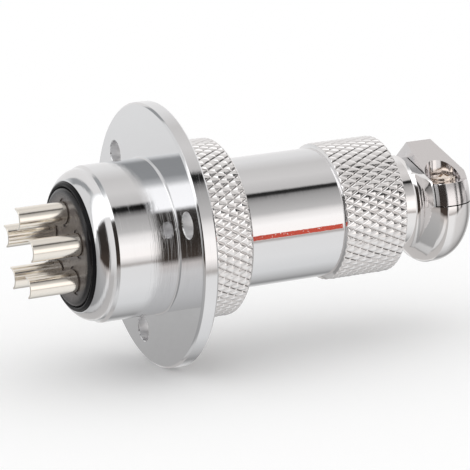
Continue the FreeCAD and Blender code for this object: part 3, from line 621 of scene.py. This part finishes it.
# Plug insulator: a plug of the same dark resin with five holes. It carries the socket
# contacts and stops on the nose's inner lip.
socket_radius = 1.3 * mm
plug_insulator = insulator("plug_insulator_dressed", [
    (plug_insulator_low.x, sharp, sharp), (plug_insulator_low.x, nose_bore - fit_gap, soft),
    (plug_insulator_high.x, nose_bore - fit_gap, soft), (plug_insulator_high.x, sharp, sharp)],
    [(socket_radius + contact_gap, plug_insulator_low.x - overrun, plug_insulator_high.x + overrun)])
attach(plug_insulator, "plug")
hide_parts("plug_insulator")

# Snap ring: a split ring of flat spring steel in the shell's groove. It keeps the solid's
# own shape and gets only its ground steel finish.
spring_steel = plating("spring_steel", (0.42, 0.42, 0.44), 0.28, waves=3.0, turning=0.8)
snap_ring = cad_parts["insulator_snap_ring"]
snap_ring.data.materials.clear()
snap_ring.data.materials.append(spring_steel)

# Socket contacts: turned brass, silver plated. Each takes a pin in its bored front, and its
# solder cup looks into the backshell.
socket_low, socket_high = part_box("socket_contact_1")
pin_play, bore_point, socket_edge = 0.05 * mm, 0.5 * mm, 0.08 * mm
pin_bore, bore_end = pin_radius + pin_play, pin_tip + pin_radius
socket_floor = plug_insulator_high.x + cup_closed
socket = turned("socket_contact_shape", [
    (socket_low.x, pin_bore, socket_edge), (bore_end, pin_bore, sharp), (bore_end + bore_point, sharp, sharp),
    (socket_floor - drill_rise, sharp, sharp), (socket_floor + 0.5 * cup_bore, cup_bore, soft),
    (socket_high.x, cup_bore, cup_lip), (socket_high.x, cup_radius, cup_edge),
    (plug_insulator_high.x, cup_radius, crisp), (plug_insulator_high.x, socket_radius, sharp),
    (socket_low.x, socket_radius, socket_edge)], 64)
opened(socket, socket_floor, socket_high.x)
eased(socket, broken_edge, 2, 35)
shaded(socket, 35)
socket.data.materials.append(silver)
set_out(socket, "socket_contact", [(0, y, z) for y, z in contact_places], "plug")

# Coupling nut: turned, cross knurled and bright plated. The knurling wheels press two sets
# of V grooves that cross, which leaves long low pyramids.
nut_low, nut_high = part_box("coupling_nut")
nut_radius, nut_bore, nut_chamfer, nut_gap = 11.49 * mm, 9.6 * mm, 0.45 * mm, 0.08 * mm
nut_diamonds, diamond_length, cells = 64, 2.13 * mm, 8
groove_share, groove_deep, crown_rise, uneven = 0.26, 0.085 * mm, 0.12 * mm, 0.13 * mm
edge_step = 0.06 * mm
# Its knurl's hollows get grime and painted shade from the plated finish.
knurled_chrome = plating("bright_plate_knurled", (0.89, 0.875, 0.872), 0.05, waves=4.5, grime_and_shade=0.15)


def knurled(piece, radius, chamfer, low, high, diamonds):
    """Presses the knurl in a turned piece between two stations. Its half diamonds fill the length and the way
    round in whole numbers, as the wheels' tracks do. Each diamond leans a little by an amount of its own, and
    the hollows are marked for the plating's grime and painted shade."""
    halves = round((high - low) * 2 / diamond_length)
    half_length = (high - low) / halves
    start, end = low + edge_step, high - edge_step
    jumble = np.random.default_rng(diamonds).random((diamonds, diamonds)) - 0.5

    def surface(x, angles):
        along, over = (x - low) / half_length, angles / math.pi * diamonds
        rising, falling = (over + along + 1) / 2, (over - along + 1) / 2
        tilt = jumble[np.floor(rising).astype(int) % diamonds, np.floor(falling).astype(int) % diamonds]
        reach = np.minimum(np.abs((over + along) % 2 - 1), np.abs((over - along) % 2 - 1))
        sink = groove_deep * np.clip(1 - reach / groove_share, 0, 1)
        crown = crown_rise * (1 - np.clip(reach, 0, 1))
        profile = radius - max(0.0, chamfer - (x - low), chamfer - (high - x))
        lean = uneven * tilt * (rising % 1 + falling % 1 - 1) * reach
        return np.minimum(radius - sink - crown + lean, profile)

    stations = [low + half_length * step / cells for step in range(1, halves * cells)]
    rows = [start] + [x for x in stations if start < x < end] + [end]
    relief(piece, radius - chamfer, rows, diamonds * 2 * cells, surface)
    mark = piece.data.attributes.new("hollow", "FLOAT", "POINT")
    for vert, held in zip(piece.data.vertices, mark.data):
        depth = (radius - math.hypot(vert.co.y, vert.co.z) - crown_rise / 2) / groove_deep
        held.value = min(max(depth, 0.0), 1.0) if start < vert.co.x < end else 0.0


coupling_nut = turned("coupling_nut_dressed", [
    (nut_low.x, nut_bore, soft), (collar_back + seat_gap, nut_bore, sharp),
    (collar_back + seat_gap, plug_radius + nut_gap, crisp), (nut_high.x, plug_radius + nut_gap, crisp),
    (nut_high.x, nut_radius - nut_chamfer - edge_step, sharp),
    (nut_high.x - edge_step, nut_radius - nut_chamfer, sharp),
    (nut_low.x + edge_step, nut_radius - nut_chamfer, sharp),
    (nut_low.x, nut_radius - nut_chamfer - edge_step, sharp)], nut_diamonds * 2)
knurled(coupling_nut, nut_radius, nut_chamfer, nut_low.x, nut_high.x, nut_diamonds)
shaded(coupling_nut, 60)
coupling_nut.data.materials.append(knurled_chrome)
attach(coupling_nut, "coupling_nut")
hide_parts("coupling_nut")

# Backshell: one turned and milled piece of plated brass. Its knurled band is turned to
# screw it into the plug shell, and its neck ends in the lower jaw of the cable clamp.
backshell_low, backshell_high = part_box("backshell")
bead_length, neck_length, chamber_length = 8.1 * mm, 2.9 * mm, 11.3 * mm
bead_end = backshell_high.x
neck_end = bead_end - bead_length
band_start, band_end = barrel_end, neck_end - neck_length
band_radius, band_chamfer, band_diamonds, spigot_radius = 8.99 * mm, 0.2 * mm, 50, 7.65 * mm
chamber_radius, neck_radius, neck_bore, cable_bore = 6.6 * mm, 5.65 * mm, 4.2 * mm, 4.0 * mm
chamber_end = backshell_low.x + chamber_length
flare, crease = (neck_end + 1.05 * mm, 6.65 * mm), (neck_end + 2.3 * mm, 8.1 * mm)
flare_round, crease_edge, shoulder_round, top_edge = 1.6 * mm, 0.1 * mm, 3.2 * mm, 0.08 * mm
bead_radius, bead_flat, bead_tail, bead_round = 8.67 * mm, 0.85 * mm, 4.67 * mm, 4.0 * mm
bead_top, parting_x, roof_x = neck_end + 3.25 * mm, neck_end + 1.9 * mm, neck_end + 0.5 * mm
roof_height, roof_drop, roof_half, roof_overlap = 5.55 * mm, 2.3 * mm, 7.0 * mm, 0.1 * mm
screw_x, screw_y, tapped_radius, tapped_depth = neck_end + 4.35 * mm, 5.4 * mm, 1.0 * mm, 5.5 * mm
bead_outline = [
    *arc((neck_end, neck_radius), flare, flare_round, 1, 5), (*flare, sharp), (*crease, crease_edge),
    *arc(crease, (bead_top, bead_radius), shoulder_round, -1, 5), (bead_top, bead_radius, top_edge),
    (bead_top + bead_flat, bead_radius, sharp),
    *arc((bead_top + bead_flat, bead_radius), (bead_end, bead_tail), bead_round, -1, 14),
    (bead_end, bead_tail, crisp)]
backshell = turned("backshell_dressed", [
    (backshell_low.x, chamber_radius, crisp), (backshell_low.x, spigot_radius, soft),
    (band_start, spigot_radius, sharp), (band_start, band_radius - band_chamfer - edge_step, sharp),
    (band_start + edge_step, band_radius - band_chamfer, sharp),
    (band_end - edge_step, band_radius - band_chamfer, sharp),
    (band_end, band_radius - band_chamfer - edge_step, sharp), (band_end, neck_radius, sharp),
    (neck_end, neck_radius, sharp), *bead_outline, (bead_end, cable_bore, crisp),
    (neck_end, cable_bore, sharp), (neck_end, neck_bore, sharp),
    (chamber_end + (chamber_radius - neck_bore) / 2, neck_bore, sharp), (chamber_end, chamber_radius, sharp)],
    band_diamonds * 4)
beyond, eaves = 2 * bead_radius, roof_height - roof_drop
across, upright = Matrix(((0, 0, 1), (1, 0, 0), (0, 1, 0))).to_4x4(), Matrix.Rotation(-math.pi / 2, 4, "Y")
gable = prism([(0, roof_height), (roof_half, eaves), (beyond, eaves), (beyond, beyond), (-beyond, beyond),
               (-beyond, eaves), (-roof_half, eaves)], roof_x, parting_x + roof_overlap, across)
upper = box_tool((parting_x, -beyond, 0), (bead_end + overrun, beyond, beyond))


def screw_tools(radius, low, high):
    """A round tool for each clamp screw's place."""
    tools = []
    for side in (-1, 1):
        tool = cylinder(radius, low, high, 0, 0, 0, 48)
        tool.data.transform(Matrix.Translation((screw_x, side * screw_y, 0)) @ upright)
        tools.append(tool)
    return tools


cut(backshell, [gable, upper, *screw_tools(tapped_radius, -tapped_depth, overrun)])
knurled(backshell, band_radius, band_chamfer, band_start, band_end, band_diamonds)
shaded(backshell, 50)
backshell.data.materials.append(knurled_chrome)
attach(backshell, "plug")
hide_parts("backshell")

# Clamp saddle: the loose upper jaw, turned with the backshell's bead and then sawn off and
# milled. Each lug has a round well for its screw's head.
saddle_x, saddle_top, saddle_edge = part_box("clamp_saddle")[0].x, 7.55 * mm, 0.1 * mm
split_gap, lug_height, slope, well_radius, screw_hole = 0.15 * mm, 3.0 * mm, 0.75, 2.35 * mm, 1.1 * mm
crest_length, tail_drop, clear = 3.6 * mm, 4.3 * mm, 5 * mm
clamp_saddle = turned("clamp_saddle_dressed", [
    (neck_end, neck_radius, sharp), *bead_outline, (bead_end, cable_bore, crisp),
    (neck_end, cable_bore, sharp)], 200)
lug_edge, crest_end = (saddle_top - lug_height) / slope, saddle_x + crest_length
tail_end, front, rear = saddle_top - tail_drop, neck_end - clear, bead_end + clear
tail = prism([(crest_end, saddle_top), (bead_end, tail_end), (rear, tail_end), (rear, beyond),
              (crest_end, beyond)], -beyond, beyond, Matrix.Rotation(math.pi / 2, 4, "X"))
slopes = prism([(0, saddle_top), (lug_edge, lug_height), (beyond, lug_height), (beyond, beyond),
                (-beyond, beyond), (-beyond, lug_height), (-lug_edge, lug_height)], front, rear, across)
below = box_tool((front, -beyond, -beyond), (rear, beyond, split_gap))
before = box_tool((front, -beyond, -beyond), (saddle_x, beyond, beyond))
cut(clamp_saddle, [below, before, tail, slopes, *screw_tools(well_radius, lug_height, beyond),
                   *screw_tools(screw_hole, -beyond, beyond)])
eased(clamp_saddle, saddle_edge, 2, 30)
shaded(clamp_saddle, 40)
satin_chrome = plating("bright_plate_satin", (0.79, 0.765, 0.765), 0.13, waves=2.0, turning=0.1)
clamp_saddle.data.materials.append(satin_chrome)
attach(clamp_saddle, "clamp_saddle")
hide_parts("clamp_saddle")

# Clamp screws: M2 pan heads with a cross recess, nickel plated and a little yellow beside
# the bright plate.
screw_low, screw_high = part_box("clamp_screw_1")
head_radius, head_edge, head_dome, shank, screw_pitch = 1.6 * mm, 0.45 * mm, 2.6 * mm, 0.95 * mm, 0.4 * mm
recess_width, recess_length, recess_depth, turned_to = 0.42 * mm, 1.8 * mm, 0.6 * mm, (28, 61)
screw_groove, plain_part = 0.2 * mm, 0.3 * mm
thread_low, thread_high = screw_low.z + screw_groove, lug_height - plain_part
nickel = plating("screw_nickel", (0.94, 0.83, 0.73), 0.20, waves=3.0, turning=0.1)
screw = turned("clamp_screw_shape", [
    (screw_low.z, sharp, sharp), (screw_low.z, shank - screw_groove, sharp), (thread_low, shank, sharp),
    (thread_high, shank, sharp), (lug_height, shank, sharp), (lug_height, head_radius, soft),
    (lug_height + head_edge, head_radius, crisp),
    *arc((lug_height + head_edge, head_radius), (screw_high.z, 0), head_dome, 1, 8),
    (screw_high.z, sharp, sharp)], 64)
relief(screw, shank, np.linspace(thread_low, thread_high, 80), 64,
       thread(shank, screw_groove, screw_pitch, thread_low, thread_high))
half, arm = recess_width / 2, recess_length / 2
cut(screw, [box_tool((screw_high.z - recess_depth, -a, -b), (screw_high.z + overrun, a, b))
            for a, b in ((half, arm), (arm, half))])
screw.data.transform(upright)
shaded(screw, 35)
screw.data.materials.append(nickel)
screw_places = [(screw_x, side * screw_y, 0) for side in (-1, 1)]
for piece, angle in zip(set_out(screw, "clamp_screw", screw_places), turned_to):
    piece.data = piece.data.copy()
    piece.data.transform(Matrix.Rotation(math.radians(angle), 4, "Z"))

# Floor: a pale matt table top that meets the flange's lowest point. It takes a soft shadow
# and isn't seen in the mirrors.
table_half = 3.0
table_corners = [(x * table_half, y * table_half, cad_low.z) for x, y in ((-1, -1), (1, -1), (1, 1), (-1, 1))]
floor = mesh_piece("table_top", table_corners, [(0, 1, 2, 3)])
floor.visible_glossy = False
pale = bpy.data.materials.new("pale_table")
pale.use_nodes = True
matt = pale.node_tree.nodes["Principled BSDF"].inputs
matt["Base Color"].default_value = (1, 1, 1, 1)
matt["Roughness"].default_value = 1.0
matt["Specular IOR Level"].default_value = 0.0
floor.data.materials.append(pale)

# Studio: white all round. What the mirrors show is placed by its angle round the connector's
# axis, from the photographer's side (0) upwards, and by how far it lies towards the clamp.
world = bpy.data.worlds.new("studio")
bpy.context.scene.world = world
world.use_nodes = True
tree = world.node_tree
tree.nodes.clear()
ray = tree.nodes.new("ShaderNodeLightPath")
parts = axes(tree, "Generated")
around = maths(tree, "ARCTAN2", parts["Z"], maths(tree, "MULTIPLY", parts["Y"], -1.0))
turn_share = maths(tree, "ADD", maths(tree, "DIVIDE", around, 2 * math.pi), 0.5)
side_share = maths(tree, "ADD", maths(tree, "MULTIPLY", parts["X"], 0.5), 0.5)
red_warmth, green_warmth, blue_warmth = 0.4, 0.35, 0.8
middle, middle_fade = 0.20, 20.0


def cards(share, span, stops):
    """Greys along one direction of the studio. Each stop has its place, level and warmth."""
    node = tree.nodes.new("ShaderNodeValToRGB")
    ramp = node.color_ramp.elements
    for index, (place, level, warmth) in enumerate(stops):
        where = place / span + 0.5
        stop = ramp[0] if index == 0 else ramp[-1] if index == len(stops) - 1 else ramp.new(where)
        stop.position = where
        stop.color = (level * (1 + warmth * red_warmth), level * (1 - warmth * green_warmth),
                      level * (1 - warmth * blue_warmth), 1)
    tree.links.new(share, node.inputs["Fac"])
    return node.outputs["Color"]


right_cards = cards(turn_share, 360, [
    (-180, 0.92, 0.01), (-146, 0.62, 0.00), (-132, 0.30, 0.00), (-118, 0.50, 0.00), (-92, 0.78, -0.01),
    (-60, 0.88, 0.00), (-30, 0.88, 0.01), (-26, 0.44, 0.10), (-22, 0.80, 0.05), (-14, 1.18, 0.06),
    (2, 1.18, 0.04), (14, 0.96, 0.04), (22, 0.60, 0.03), (34, 0.50, 0.03), (46, 0.40, 0.03),
    (51, 0.30, 0.03), (54, 0.03, 0.02), (59, 0.02, 0.02), (62, 0.60, 0.03), (85, 0.74, 0.03),
    (112, 0.68, 0.03), (140, 0.86, 0.01), (180, 0.92, 0.01)])
left_cards = cards(turn_share, 360, [
    (-180, 0.88, -0.02), (-170, 0.85, 0.00), (-167.5, 0.72, 0.00), (-165.3, 0.44, 0.01), (-133, 0.54, 0.00),
    (-103, 0.66, 0.00), (-75, 0.76, 0.00), (-50, 0.84, 0.02), (-36, 0.74, 0.08), (-27, 0.06, 0.35),
    (0, 0.035, 0.30), (32, 0.032, 0.20), (42, 0.08, 0.10), (49, 1.45, 0.00), (82, 1.40, 0.00),
    (92, 0.66, -0.02), (104, 0.38, -0.04), (150, 0.36, -0.04), (165, 0.72, -0.02), (180, 0.88, -0.02)])
side_cards = cards(side_share, 2, [
    (-1, 0.62, 0.0), (-0.93, 0.50, 0.0), (-0.90, 0.0, 0.0), (-0.31, 0.0, 0.0), (-0.25, 0.84, 0.02),
    (0.20, 0.88, 0.02), (1, 0.86, 0.0)])
end_cards = cards(side_share, 2, [
    (-1, 1.0, 0.0), (0.60, 1.0, 0.0), (0.63, 0.08, 0.0), (0.69, 0.10, 0.0), (0.72, 0.95, 0.0),
    (0.82, 0.90, 0.0), (0.85, 0.05, 0.0), (0.93, 0.06, 0.0), (0.95, 0.60, 0.0), (1, 0.60, 0.0)])
in_front = cards(turn_share, 360, [
    (-180, 0.0, 0.0), (-34, 0.0, 0.0), (-24, 1.0, 0.0), (55, 1.0, 0.0), (66, 0.0, 0.0), (180, 0.0, 0.0)])
far_left = cards(side_share, 2, [(-1, 0.80, 0.0), (-0.52, 0.80, 0.0), (-0.46, 0.0, 0.0), (1, 0.0, 0.0)])
dimmed = cards(side_share, 2, [
    (-1, 0.58, 0.0), (-0.52, 0.58, 0.0), (-0.47, 1.0, 0.0), (-0.33, 1.0, 0.0), (-0.28, 0.64, 0.02),
    (0.12, 0.64, 0.02), (0.20, 1.0, 0.0), (0.50, 1.0, 0.0), (0.60, 0.80, 0.02), (1, 0.76, 0.02)])
underneath = cards(turn_share, 360, [
    (-180, 0.0, 0.0), (-150, 1.0, 0.0), (-40, 1.0, 0.0), (-20, 0.0, 0.0), (180, 0.0, 0.0)])
overhead = cards(turn_share, 360, [(-180, 0.0, 0.0), (84, 0.0, 0.0), (96, 1.0, 0.0), (180, 1.0, 0.0)])
past_middle = maths(tree, "MULTIPLY", maths(tree, "SUBTRACT", parts["X"], middle), middle_fade, True)
roof_light = mixed(tree, 1.0, far_left, overhead, "MULTIPLY")
left_side = mixed(tree, 1.0, mixed(tree, 1.0, left_cards, side_cards, "LIGHTEN"), roof_light, "LIGHTEN")
bar = cards(turn_share, 360, [
    (-180, 1.0, 0.0), (42, 1.0, 0.0), (48, 0.45, 0.0), (52, 0.06, 0.0), (60, 0.06, 0.0), (63, 1.0, 0.0),
    (180, 1.0, 0.0)])
near_middle = cards(side_share, 2, [(-1, 1.0, 0.0), (0.38, 1.0, 0.0), (0.42, 0.0, 0.0), (1, 0.0, 0.0)])
right_side = mixed(tree, near_middle, right_cards, mixed(tree, 1.0, right_cards, bar, "MULTIPLY"))
right_side = mixed(tree, in_front, right_side, end_cards, "MULTIPLY")
sides = mixed(tree, past_middle, left_side, right_side)
sides = mixed(tree, underneath, sides, mixed(tree, 1.0, sides, dimmed, "MULTIPLY"))
plain = tree.nodes.new("ShaderNodeBackground")
plain.inputs["Color"].default_value = (1, 1, 1, 1)
seen = tree.nodes.new("ShaderNodeBackground")
tree.links.new(sides, seen.inputs["Color"])
pick = tree.nodes.new("ShaderNodeMixShader")
tree.links.new(ray.outputs["Is Glossy Ray"], pick.inputs["Fac"])
tree.links.new(plain.outputs["Background"], pick.inputs[1])
tree.links.new(seen.outputs["Background"], pick.inputs[2])
output = tree.nodes.new("ShaderNodeOutputWorld")
tree.links.new(pick.outputs["Shader"], output.inputs["Surface"])

# Camera: a long lens to the left of the connector and a little above it, in the place that
# was fitted to the photograph.
camera_data = bpy.data.cameras.new("camera")
camera_data.sensor_width = 36.0
camera_data.lens = 215.13
camera = bpy.data.objects.new("camera", camera_data)
bpy.context.scene.collection.objects.link(camera)
right, up, back = (0.9048, -0.4227, -0.0514), (0.1320, 0.1636, 0.9777), (-0.4049, -0.8914, 0.2038)
camera_place = (-0.13412, -0.32189, 0.07207)
turn = Matrix((right, up, back)).transposed().to_4x4()
camera.matrix_world = Matrix.Translation(camera_place) @ turn
bpy.context.scene.camera = camera
bpy.context.scene.view_settings.view_transform = "Standard"
